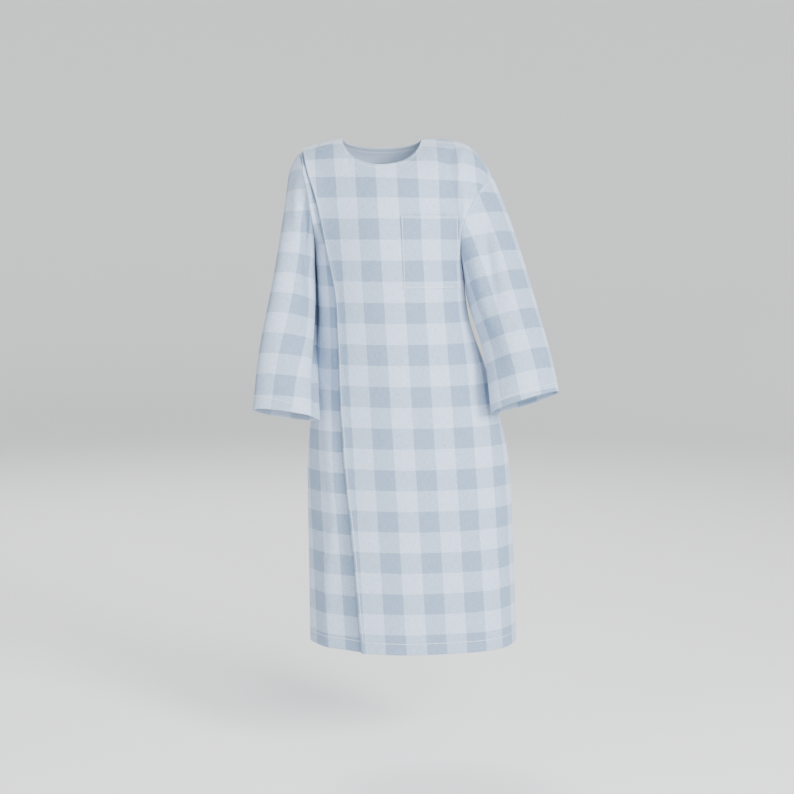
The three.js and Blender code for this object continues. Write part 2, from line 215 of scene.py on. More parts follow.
def plain_point(face, angle, z):
    right_x, right_open = panel_edge("right", face, z)
    left_x, left_open = panel_edge("left", face, z)
    share = (np.sin(angle) + 1) / 2
    x = right_x + (left_x - right_x) * share
    below = np.clip((shoulder_line(x) - z) / SHOULDER_ROUND, 0, 1)
    rounding = np.sqrt(1 - (1 - below) ** 2)
    crown = np.cos(angle)
    opening = (right_open + (left_open - right_open) * share) * (1 - crown) * (1 - smooth(crown))
    y = opening + station(DEPTH[face], z) * rounding * crown + SEAM_HALF
    return np.stack([x, -y if face == "front" else y, z], -1)


def plain_normal(face, angle, z):
    turn, step = 0.4 * DEG, 0.4 * MM
    across = plain_point(face, angle + turn, z) - plain_point(face, angle - turn, z)
    down = plain_point(face, angle, z - 2 * step) - plain_point(face, angle, z)
    normal = np.cross(down, across) if face == "front" else np.cross(across, down)
    near_seam = np.abs(plain_point(face, angle, z)[..., 1]) - SEAM_HALF
    normal[..., 1] *= np.clip(near_seam / (14 * MM), 0, 1)
    length = np.linalg.norm(normal, axis=-1, keepdims=True)
    return normal / np.maximum(length, 1e-12)


def ridge(x, z, line, width, height):
    """A soft fold along a line of x and z points in millimetres. A negative height is a dip."""
    line = np.array(line, float) * MM
    at = np.stack([x, z], -1)
    nearest = np.full(x.shape, 1e9)
    for a, b in zip(line[:-1], line[1:]):
        t = np.clip(((at - a) @ (b - a)) / ((b - a) @ (b - a)), 0, 1)
        nearest = np.minimum(nearest, np.linalg.norm(at - (a + t[..., None] * (b - a)), axis=-1))
    return height * MM * np.exp(-((nearest / (width * MM)) ** 2))


FRONT_FOLDS = [  # line of x and z, width and height, in millimetres
    ([(134, -22), (131, -62), (137, -118), (142, -180)], 9, 5.0),  # edge over the left sleeve
    ([(118, -18), (116, -60), (119, -108)], 10, -4.5),
    ([(98, -10), (112, -64), (128, -104)], 9, -2.6),  # drag from the neck to the underarm
    ([(84, -26), (97, -78), (112, -120)], 11, 2.0),
    ([(-112, -60), (-98, -140), (-84, -230)], 10, 1.6),
    ([(150, -330), (176, -470), (196, -640), (204, -858)], 30, 3.0),
    ([(92, -380), (104, -560), (118, -858)], 34, -2.6),
    ([(20, -420), (30, -620), (46, -858)], 30, 2.2),
]
SIDE_FOLDS = [
    ([(-100, -430), (-88, -560), (-82, -640), (-96, -760), (-98, -858)], 13, 4.5),
    ([(-72, -620), (-62, -740), (-60, -858)], 16, -3.0),
]
BACK_FOLDS = [
    ([(0, -80), (6, -300), (30, -858)], 26, 3.0),
    ([(-70, -230), (-60, -480), (-52, -858)], 30, -4.0),
    ([(-20, -420), (-6, -620), (2, -858)], 24, -3.0),
    ([(96, -260), (124, -520), (142, -858)], 32, 5.0),
    ([(70, -330), (84, -600), (94, -858)], 26, -4.0),
    ([(-104, -150), (-92, -240), (-84, -330)], 14, 3.5),
    ([(120, -170), (112, -250), (118, -340)], 16, -3.5),
]


def drape(face, angle, point, side_piece=False):
    """How far the cloth's folds stand out of the plain surface."""
    x, z = point[..., 0], point[..., 2]
    folds = FRONT_FOLDS if face == "front" else BACK_FOLDS
    out = sum(ridge(x, z, *fold) for fold in folds)
    if side_piece:
        out = out + sum(ridge(x, z, *fold) for fold in SIDE_FOLDS)
    low = smooth((-z - 0.35) / 0.5)
    out = out + low * 2.2 * MM * np.sin(angle * 5.0 + z * 3.0 + (0.4 if face == "front" else 2.0))
    out = out + 0.5 * MM * np.sin(x * 61 + z * 23) * np.sin(z * 37 - x * 19 + 1.0)
    return out * smooth(np.cos(angle) / 0.35)


def body_point(face, angle, z, depth=0.0, side_piece=False):
    point = plain_point(face, angle, z)
    out = drape(face, angle, point, side_piece) - depth
    return point + plain_normal(face, angle, z) * out[..., None]


def angle_at(face, x, z):
    right_x, _ = panel_edge("right", face, z)
    left_x, _ = panel_edge("left", face, z)
    return np.arcsin(np.clip(2 * (x - right_x) / (left_x - right_x) - 1, -1, 1))


def top_of(face, x):
    neck = -NECK_DROP[face] * np.sqrt(np.clip(1 - (x / NECK_HALF) ** 2, 0, 1))
    return np.where(np.abs(x) >= NECK_HALF, shoulder_line(x), neck)


def top_height(face, column, count):
    """The height at which each column reaches the neck or the shoulder."""
    z = np.full(count, -NECK_DROP["back"])
    for _ in range(60):
        z = (z + top_of(face, plain_point(face, column(z), z)[..., 0])) / 2
    return z


def flap_edge(z):
    x = through(FLAP_EDGE[:, 0], FLAP_EDGE[:, 1] * MM, -z / GOWN_LENGTH)
    return angle_at("front", x, z)


def inside_flap(distance):
    """The line in the front at a distance in from the flap's edge."""

    def angle(z):
        steps = np.linspace(0, 45 * DEG, 120)
        edge = flap_edge(z)
        tries = edge[..., None] + steps
        line = plain_point("front", tries, z[..., None] + 0 * tries)
        gaps = np.linalg.norm(np.diff(line, axis=-2), axis=-1)
        run = np.concatenate([np.zeros(gaps.shape[:-1] + (1,)), np.cumsum(gaps, -1)], -1)
        flat_run, flat_edge = run.reshape(-1, len(steps)), edge.reshape(-1)
        found = [e + np.interp(distance, r, steps) for e, r in zip(flat_edge, flat_run)]
        return np.array(found).reshape(z.shape)

    return angle


# ---------------------------------------------------------------- the cloth's own coordinates


def cloth_across(face, angle, z):
    """Distance along the cloth from the grain line, level round the body."""
    grain = angle_at(face, GRAIN_X + (GRAIN_Z - z) * GRAIN_LEAN, z)
    shares = np.linspace(0, 1, 33)
    turns = grain[..., None] + (angle - grain)[..., None] * shares
    line = plain_point(face, turns, z[..., None] + 0 * turns)
    run = np.linalg.norm(np.diff(line, axis=-2), axis=-1).sum(-1)
    return run * np.sign(angle - grain)


def cloth_down(face, angle, z):
    """Distance down the cloth. Over the shoulders it is measured along the surface."""
    level = -SHOULDER_ROUND - 30 * MM
    start = np.minimum(z, 0)
    shares = np.linspace(0, 1, 25)
    heights = start[..., None] + (level - start)[..., None] * shares
    line = plain_point(face, angle[..., None] + 0 * heights, heights)
    run = np.linalg.norm(np.diff(line, axis=-2), axis=-1).sum(-1)
    return np.where(z > level, -level - run, -z)


# ---------------------------------------------------------------- making sheets


def sheet_mesh(name, across, down, place, closed_round=False):
    """A sheet of cloth. place gives the points, the cloth's own coordinates and the distance
    from the nearest line of stitches, at shares across and down."""
    made = bmesh.new()
    bmesh.ops.create_grid(made, x_segments=across, y_segments=down, size=0.5)
    shares = np.array([(v.co.x + 0.5, 0.5 - v.co.y) for v in made.verts])
    points, cloth, to_stitches = place(shares[:, 0], shares[:, 1])
    stitches = made.verts.layers.float.new("Stitches")
    for vertex, point, distance in zip(made.verts, points, to_stitches):
        vertex.co = point
        vertex[stitches] = distance
    made.verts.index_update()
    layer = made.loops.layers.uv.new("Cloth")
    for face in made.faces:
        face.smooth = True
        for loop in face.loops:
            loop[layer].uv = cloth[loop.vert.index]
    if closed_round:
        bmesh.ops.remove_doubles(made, verts=made.verts[:], dist=0.01 * MM)
    mesh = bpy.data.meshes.new(name)
    made.to_mesh(mesh)
    made.free()
    piece = bpy.data.objects.new(name, mesh)
    bpy.context.scene.collection.objects.link(piece)
    return piece


def outward(piece, centre_at):
    """Turns the faces so that they look away from the middle line of the gown or sleeve."""
    mesh = piece.data
    middle = mesh.polygons[len(mesh.polygons) // 2]
    if (middle.center - centre_at(middle.center)).dot(middle.normal) < 0:
        mesh.flip_normals()


def thicken(piece, thickness):
    """Gives the cloth its thickness, inwards, and rounds its edges."""
    wall = piece.modifiers.new("thickness", "SOLIDIFY")
    wall.thickness = thickness
    wall.offset = -1
    wall.use_even_offset = False
    soft = piece.modifiers.new("soft edges", "SUBSURF")
    soft.levels = soft.render_levels = 1


def body_sheet(
    name, face, left, right, across, down, rows_at, depth_at, thickness, side_piece=False, crowd=1.0
):
    """A sheet on the body between two lines. rows_at gives the height and the turned-in depth
    of each row, and depth_at the depth under the outside at shares across and down. crowd
    brings columns closer together at the left line."""

    def place(s, t):
        s = s**crowd
        columns, column_of = np.unique(np.round(s, 6), return_inverse=True)
        line = lambda z: left(z) * (1 - columns) + right(z) * columns
        top = top_height(face, line, len(columns))[column_of.reshape(-1)]
        z, turned = rows_at(t, top)
        angle = left(z) * (1 - s) + right(z) * s
        x = plain_point(face, angle, z)[..., 0]
        points = body_point(face, angle, z, depth_at(s, t, x) + turned, side_piece)
        cloth = np.stack([cloth_across(face, angle, z), cloth_down(face, angle, z)], -1)
        if side_piece:
            cloth = cloth - SIDE_CHECK
        to_edges = [top - z - EDGE_STITCH, z + GOWN_LENGTH - HEM_DEPTH + 3 * MM]
        if crowd > 1:
            to_edges.append(s * FRONT_ACROSS - EDGE_STITCH)
        return points, cloth, np.min(to_edges, axis=0)

    piece = sheet_mesh(name, across, down, place)
    outward(piece, lambda p: Vector((0.03, 0, p.z)))
    thicken(piece, thickness)
    return piece


# ---------------------------------------------------------------- camera

CAMERA_AT = Vector((25.5 * MM, -2.8, -145 * MM))
CAMERA_TILT = 5.96
camera_data = bpy.data.cameras.new("camera")
camera_data.lens = 74.7
camera = bpy.data.objects.new("camera", camera_data)
camera.location = CAMERA_AT
camera.rotation_euler = (math.radians(90 - CAMERA_TILT), 0, 0)
bpy.context.scene.collection.objects.link(camera)
bpy.context.scene.camera = camera

# ---------------------------------------------------------------- materials


def linear(hex_colour):
    """A hex sRGB colour as linear red, green, blue and alpha."""
    parts = [int(hex_colour[i : i + 2], 16) / 255 for i in (1, 3, 5)]
    return [c / 12.92 if c <= 0.04045 else ((c + 0.055) / 1.055) ** 2.4 for c in parts] + [1.0]


def add(tree, kind, inputs=(), **settings):
    """Adds a node with its settings, and sets or links its inputs."""
    made = tree.nodes.new(kind)
    for name, value in settings.items():
        setattr(made, name, value)
    for name, value in dict(inputs).items():
        if isinstance(value, bpy.types.NodeSocket):
            tree.links.new(value, made.inputs[name])
        else:
            made.inputs[name].default_value = value
    return made


def new_material(name):
    material = bpy.data.materials.new(name)
    material.use_nodes = True
    material.node_tree.nodes.clear()
    return material, material.node_tree


def brushed_cloth(name, light, dark, spacing, nap):
    """Cotton flannel, woven with dyed yarn and brushed on both sides. The two dyes cross as a
    check with soft edges, the nap blurs the weave and catches a pale sheen at the edges."""
    material, tree = new_material(name)
    math_node = "ShaderNodeMath"
    cloth = add(tree, "ShaderNodeUVMap", uv_map="Cloth").outputs["UV"]
    # Yarns wander a little, so the edges of the check do too.
    wander = add(tree, "ShaderNodeTexNoise", {"Vector": cloth, "Scale": 1 / (4 * MM), "Detail": 2})
    shift = add(
        tree,
        "ShaderNodeVectorMath",
        {0: wander.outputs["Color"], 1: (0.5, 0.5, 0.5)},
        operation="SUBTRACT",
    )
    moved = add(
        tree,
        "ShaderNodeVectorMath",
        {0: shift.outputs[0], 1: (1.6 * MM, 1.6 * MM, 0), 2: cloth},
        operation="MULTIPLY_ADD",
    )
    axes = add(tree, "ShaderNodeSeparateXYZ", {"Vector": moved.outputs[0]})
    bands = []
    for axis, phase in (("X", CHECK / 2), ("Y", ROW_PHASE)):
        at = add(tree, math_node, {0: axes.outputs[axis], 1: phase}, operation="SUBTRACT")
        turn = add(tree, math_node, {0: at.outputs[0], 1: 2 * math.pi / CHECK}, operation="MULTIPLY")
        wave = add(tree, math_node, {0: turn.outputs[0]}, operation="COSINE")
        steep = add(
            tree,
            math_node,
            {0: wave.outputs[0], 1: 9.0, 2: 0.5},
            operation="MULTIPLY_ADD",
            use_clamp=True,
        )
        bands.append(steep.outputs[0])
    # Warp stripes show more than weft stripes, so the columns are the darker bands.
    column = add(tree, math_node, {0: bands[0], 1: 0.52}, operation="MULTIPLY")
    both = add(tree, math_node, {0: bands[1], 1: 0.48, 2: column.outputs[0]}, operation="MULTIPLY_ADD")
    checked = add(
        tree,
        "ShaderNodeMix",
        {"Factor": both.outputs[0], "A": linear(light), "B": linear(dark)},
        data_type="RGBA",
    )
    # Slubs: thicker stretches of yarn, drawn coarser than the real thread so that they show.
    slub_at = add(
        tree,
        "ShaderNodeVectorMath",
        {0: cloth, 1: (1 / (1.3 * MM), 1 / (11 * MM), 1)},
        operation="MULTIPLY",
    )
    slub = add(tree, "ShaderNodeTexNoise", {"Vector": slub_at.outputs[0], "Scale": 1.0, "Detail": 3})
    weft_at = add(
        tree,
        "ShaderNodeVectorMath",
        {0: cloth, 1: (1 / (9 * MM), 1 / (1.4 * MM), 1)},
        operation="MULTIPLY",
    )
    weft = add(tree, "ShaderNodeTexNoise", {"Vector": weft_at.outputs[0], "Scale": 1.0, "Detail": 3})
    yarn = add(tree, math_node, {0: slub.outputs[0], 1: weft.outputs[0]}, operation="ADD")
    yarn_value = add(
        tree,
        "ShaderNodeMapRange",
        {"Value": yarn.outputs[0], "From Min": 0.6, "From Max": 1.4, "To Min": 1 - nap, "To Max": 1 + nap},
    )
    coloured = add(
        tree,
        "ShaderNodeMix",
        {"Factor": 1.0, "A": checked.outputs["Result"], "B": yarn_value.outputs["Result"]},
        data_type="RGBA",
        blend_type="MULTIPLY",
    )
    # Lines of stitches: short threads, each pulled down into the nap.
    to_line = add(tree, "ShaderNodeAttribute", attribute_name="Stitches").outputs["Fac"]
    off_line = add(tree, math_node, {0: to_line}, operation="ABSOLUTE")
    on_line = add(
        tree,
        "ShaderNodeMapRange",
        {
            "Value": off_line.outputs[0],
            "From Min": 0.3 * MM,
            "From Max": 0.6 * MM,
            "To Min": 1.0,
            "To Max": 0.0,
        },
    )
    pulled = add(
        tree,
        "ShaderNodeMapRange",
        {
            "Value": off_line.outputs[0],
            "From Min": 0.0,
            "From Max": 2.2 * MM,
            "To Min": -3.0,
            "To Max": 0.0,
        },
        interpolation_type="SMOOTHSTEP",
    )
    uv_axes = add(tree, "ShaderNodeSeparateXYZ", {"Vector": cloth})
    run = add(tree, math_node, {0: uv_axes.outputs["X"], 1: uv_axes.outputs["Y"]}, operation="ADD")
    beat = add(tree, math_node, {0: run.outputs[0], 1: STITCH_LENGTH}, operation="FLOORED_MODULO")
    thread = add(tree, math_node, {0: beat.outputs[0], 1: THREAD_SHOWS}, operation="LESS_THAN")
    stitch = add(
        tree, math_node, {0: on_line.outputs["Result"], 1: thread.outputs[0]}, operation="MULTIPLY"
    )
    sewn = add(
        tree,
        "ShaderNodeMix",
        {"Factor": stitch.outputs[0], "A": coloured.outputs["Result"], "B": linear("#DCE4EC")},
        data_type="RGBA",
    )
    # Twill ribs run across the cloth at 45 degrees, at twice the real thread spacing.
    ribs = add(
        tree,
        "ShaderNodeTexWave",
        {"Vector": cloth, "Scale": 1 / (spacing * 20), "Distortion": 1.5, "Detail": 1},
        bands_direction="DIAGONAL",
    )
    height = add(
        tree, math_node, {0: yarn.outputs[0], 1: 0.8, 2: ribs.outputs["Fac"]}, operation="MULTIPLY_ADD"
    )
    sunk = add(tree, math_node, {0: height.outputs[0], 1: pulled.outputs["Result"]}, operation="ADD")
    relief = add(
        tree, math_node, {0: stitch.outputs[0], 1: 2.0, 2: sunk.outputs[0]}, operation="MULTIPLY_ADD"
    )
    bump = add(
        tree,
        "ShaderNodeBump",
        {"Height": relief.outputs[0], "Strength": 0.5, "Distance": 0.25 * MM},
    )
    surface = add(
        tree,
        "ShaderNodeBsdfPrincipled",
        {
            "Base Color": sewn.outputs["Result"],
            "Roughness": 0.92,
            "IOR": 1.46,
            "Specular IOR Level": 0.25,
            "Sheen Weight": 0.25,
            "Sheen Roughness": 0.5,
            "Sheen Tint": linear("#EEF3F8"),
            "Normal": bump.outputs["Normal"],
        },
    )
    add(tree, "ShaderNodeOutputMaterial", {"Surface": surface.outputs[0]})
    return material


def moulded_acetal(name):
    """Press studs moulded in acetal: white, slightly waxy, with faint flow marks."""
    material, tree = new_material(name)
    where = add(tree, "ShaderNodeTexCoord").outputs["Object"]
    flow = add(tree, "ShaderNodeTexNoise", {"Vector": where, "Scale": 1 / (1.5 * MM), "Detail": 3})
    tone = add(
        tree,
        "ShaderNodeMix",
        {"Factor": flow.outputs[0], "A": linear("#D9E0E6"), "B": linear("#E8EDF1")},
        data_type="RGBA",
    )
    bump = add(tree, "ShaderNodeBump", {"Height": flow.outputs[0], "Strength": 0.1, "Distance": 0.05 * MM})
    surface = add(
        tree,
        "ShaderNodeBsdfPrincipled",
        {
            "Base Color": tone.outputs["Result"],
            "Roughness": 0.38,
            "IOR": 1.48,
            "Normal": bump.outputs["Normal"],
        },
    )
    add(tree, "ShaderNodeOutputMaterial", {"Surface": surface.outputs[0]})
    return material


CHECKED_FLANNEL = brushed_cloth("checked cotton flannel", "#B6C7DE", "#7F94AE", 0.8 * MM, 0.2)
FACING_COTTON = brushed_cloth("plain facing cotton", "#AFC0D8", "#AFC0D8", 0.6 * MM, 0.08)
ACETAL = moulded_acetal("moulded white acetal")


def finish_piece(piece, material, body=None):
    piece.data.materials.clear()
    piece.data.materials.append(material)
    if body:
        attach(piece, body)
    return piece


# ---------------------------------------------------------------- the body of the gown

FRONT_EDGE = lambda z: np.full_like(z, 90 * DEG)
SIDE_EDGE = lambda z: np.full_like(z, -90 * DEG)
HEM_TURN = [0.0, 0.8 * MM, 1.9 * MM, 2.0 * MM]  # depth of the rows that turn up inside the hem
HEM_RISE = [0.0, -0.3 * MM, 0.6 * MM, HEM_DEPTH]


def hemmed(rows):
    """Rows that run down to the hem, turn under and come back up inside as a sewn hem."""

    def rows_at(t, top):
        main = (rows - 3) / rows
        down = np.clip(t / main, 0, 1)
        step = np.clip(np.round((t - main) * rows), 0, 3).astype(int)
        z = top + (-GOWN_LENGTH - top) * down
        z = np.where(step > 0, -GOWN_LENGTH + np.array(HEM_RISE)[step], z)
        return z, np.array(HEM_TURN)[step]

    return rows_at


def strip(height):
    """Rows that follow the neck or shoulder down for a set height."""
    return lambda t, top: (top - height * t, 0 * t)


def edge_dip(inwards, down):
    """The flap's free edge stands up a little off the cloth below and then rolls in over its
    facing. Its corner at the shoulder stays flat."""
    lifted = 1.9 * MM * np.exp(-(((inwards - 4 * MM) / (5 * MM)) ** 2))
    rolled = 1.6 * MM * np.exp(-inwards / (1.4 * MM))
    return (rolled - lifted) * smooth(down / 0.05)


def front_cloth():
    """One piece of cloth from the flap's free edge across to the wearer's left side."""
    depth = lambda s, t, x: edge_dip(s * FRONT_ACROSS, t)
    piece = body_sheet(
        "front_cloth",
        "front",
        flap_edge,
        FRONT_EDGE,
        80,
        120,
        hemmed(120),
        depth,
        FLANNEL,
        crowd=1.45,
    )
    return finish_piece(piece, CHECKED_FLANNEL)


def back_cloth():
    """The back, whole from side seam to side seam. It dips under the flap at the shoulder."""
    depth = lambda s, t, x: (
        UNDER_DEPTH * smooth((-NECK_HALF - x) / (16 * MM)) * (1 - smooth(t / 0.06))
    )
    piece = body_sheet(
        "back_cloth", "back", SIDE_EDGE, FRONT_EDGE, 76, 110, hemmed(110), depth, FLANNEL
    )
    return finish_piece(piece, CHECKED_FLANNEL, "body")


def side_front_cloth():
    """The wearer's right side of the front, which runs under the flap to carry the studs."""
    depth = lambda s, t, x: (
        UNDER_DEPTH * np.maximum(1 - smooth((s - 0.34) / 0.66), 1 - smooth(t / 0.06))
    )
    inner = inside_flap(FLAP_OVERLAP)
    piece = body_sheet(
        "side_front_cloth", "front", inner, SIDE_EDGE, 26, 120, hemmed(120), depth, FLANNEL, True
    )
    return finish_piece(piece, CHECKED_FLANNEL, "body")


NECK_LEFT = lambda z: angle_at("front", np.full_like(z, NECK_HALF), 0 * z)
NECK_RIGHT = lambda z: angle_at("front", np.full_like(z, -NECK_HALF), 0 * z)


def under_edge(s, t, x):
    """A facing lies against the cloth at the sewn edge and drops to its own depth below it."""
    return FACING_DEPTH - 0.6 * MM * (1 - smooth(t / 0.3))


def facings():
    """Strips that face the neck, the flap's free edge and its shoulder edge."""
    deep = strip(FACING_WIDTH)
    front_neck = body_sheet(
        "neck_facing_front_cloth", "front", NECK_RIGHT, NECK_LEFT, 48, 8, deep, under_edge, FACING
    )
    back_neck = body_sheet(
        "neck_facing_back_cloth", "back", NECK_RIGHT, NECK_LEFT, 48, 8, deep, under_edge, FACING
    )
    edge = body_sheet(
        "flap_edge_facing_cloth",
        "front",
        inside_flap(1.5 * MM),
        inside_flap(FLAP_OVERLAP),
        10,
        110,
        hemmed(110),
        lambda s, t, x: FACING_DEPTH + edge_dip(1.5 * MM + s * FLAP_OVERLAP, t),
        FACING,
    )
    shoulder = body_sheet(
        "flap_shoulder_facing_cloth",
        "front",
        inside_flap(FLAP_OVERLAP + 1 * MM),
        NECK_RIGHT,
        12,
        4,
        strip(11 * MM),
        under_edge,
        FACING,
    )
    for piece in (front_neck, back_neck, edge, shoulder):
        finish_piece(piece, FACING_COTTON)
    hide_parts("neck_facing_front", "neck_facing_flap")
    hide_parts("neck_facing_back")
    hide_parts("flap_edge_facing")
    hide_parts("flap_shoulder_facing")
    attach(back_neck, "body")
    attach(edge, "flap")
    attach(shoulder, "flap")
    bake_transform(front_neck)
    return front_neck, back_neck, edge, shoulder


def shoulder_underlap_cloth():
    """The tab of cloth under the flap at the shoulder, which carries the top stud."""
    piece = body_sheet(
        "shoulder_underlap_cloth",
        "front",
        inside_flap(FLAP_OVERLAP + 1 * MM),
        NECK_RIGHT,
        12,
        4,
        strip(11 * MM),
        lambda s, t, x: UNDER_DEPTH + 0 * s,
        FLANNEL,
    )
    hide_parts("shoulder_underlap")
    return finish_piece(piece, CHECKED_FLANNEL, "body")


def pocket_cloth():
    """A patch pocket, turned under and sewn on three sides, with a folded mouth that stands
    a little open. Its check is cut to match the front."""
    side = float(body_side("left", np.array(-POCKET_TOP)))
    left_edge = side - POCKET_FROM_SIDE - POCKET_WIDTH

    def place(s, t):
        z = -POCKET_TOP - POCKET_HEIGHT * t
        x = left_edge + POCKET_WIDTH * s + POCKET_LEAN * t
        angle = angle_at("front", x, z)
        to_side = np.minimum(s, 1 - s) * POCKET_WIDTH
        to_edge = np.minimum(to_side, (1 - t) * POCKET_HEIGHT)
        out = 1.7 * MM - 0.7 * MM * np.exp(-to_edge / (1.6 * MM))
        out = out + 1.6 * MM * np.sin(math.pi * s) * (1 - t) ** 3
        out = out + 0.5 * MM * np.exp(-((t * POCKET_HEIGHT / (2.6 * MM)) ** 2))
        points = body_point("front", angle, z, -out)
        cloth = np.stack([cloth_across("front", angle, z), cloth_down("front", angle, z)], -1)
        return points, cloth, to_edge - 2.5 * MM

    piece = sheet_mesh("chest_pocket_cloth", 44, 56, place)
    outward(piece, lambda p: Vector((0.03, 0, p.z)))
    thicken(piece, FLANNEL)
    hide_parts("chest_pocket")
    return finish_piece(piece, CHECKED_FLANNEL, "body")


front = front_cloth()
back = back_cloth()
side_front = side_front_cloth()
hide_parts("front_panel", "front_flap")
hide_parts("back_panel")
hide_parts("side_front")


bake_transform(front)
neck_front, neck_back, edge_facing, shoulder_facing = facings()
underlap = shoulder_underlap_cloth()
pocket = pocket_cloth()

# ---------------------------------------------------------------- press studs

STUD_SIDES = 28
SOCKET_PROFILE = [  # radius and height in millimetres, from the back of the socket to its mouth
    (0, 1.2), (3.4, 1.2), (4.0, 1.05), (4.4, 0.7), (4.4, 0.35), (4.1, 0.1), (3.7, 0.0),
    (2.9, 0.0), (2.6, 0.12), (2.5, 0.5), (2.7, 0.8), (0, 0.8),
]
BALL_PROFILE = [  # from the top of the ball to the back of its plate
    (0, 0.9), (0.9, 0.86), (1.6, 0.66), (2.0, 0.36), (1.9, 0.12), (1.75, 0.0), (2.9, 0.0),
    (3.1, -0.12), (3.9, -0.14), (4.3, -0.25), (4.4, -0.42), (4.2, -0.6), (0, -0.6),
]


def press_stud(node, profile, body):
    """Half a press stud, turned from its profile and set where the frame has it."""
    at = np.array([vertex.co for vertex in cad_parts[node].data.vertices])
    low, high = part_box(node)
    centre = (np.array(low) + np.array(high)) / 2
    axis = np.linalg.svd(at - at.mean(0), full_matrices=False)[2][2]
    if axis[1] > 0:
        axis = -axis
    made = bmesh.new()
    line = [made.verts.new((r * MM, 0, h * MM)) for r, h in profile]
    edges = [made.edges.new(pair) for pair in zip(line[:-1], line[1:])]
    bmesh.ops.spin(
        made, geom=line + edges, cent=(0, 0, 0), axis=(0, 0, 1), angle=2 * math.pi, steps=STUD_SIDES,
        use_merge=True,
    )
    bmesh.ops.remove_doubles(made, verts=made.verts[:], dist=0.005 * MM)
    bmesh.ops.recalc_face_normals(made, faces=made.faces[:])
    heights = [h for _, h in profile]
    lift = Matrix.Translation((0, 0, -(max(heights) + min(heights)) / 2 * MM))
    turn = Vector((0, 0, 1)).rotation_difference(Vector(axis)).to_matrix().to_4x4()
    bmesh.ops.transform(made, matrix=Matrix.Translation(Vector(centre)) @ turn @ lift, verts=made.verts[:])
    for face in made.faces:
        face.smooth = True
    mesh = bpy.data.meshes.new(node + "_turned")
    made.to_mesh(mesh)
    made.free()
    piece = bpy.data.objects.new(node + "_turned", mesh)
    bpy.context.scene.collection.objects.link(piece)
    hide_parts(node)
    return finish_piece(piece, ACETAL, body)


for place_name in ["shoulder"] + ["side_%d" % i for i in range(1, 9)]:
    press_stud("stud_socket_" + place_name, SOCKET_PROFILE, "flap")
    press_stud("stud_ball_" + place_name, BALL_PROFILE, "body")

# ---------------------------------------------------------------- sleeves


def sleeve_line(points, top):
    path = np.array([(top[0] / MM, top[1] / MM)] + list(points)) * MM
    share = np.linspace(0, 1, len(path))
    return lambda t: (through(share, path[:, 0], t), through(share, path[:, 1], t))


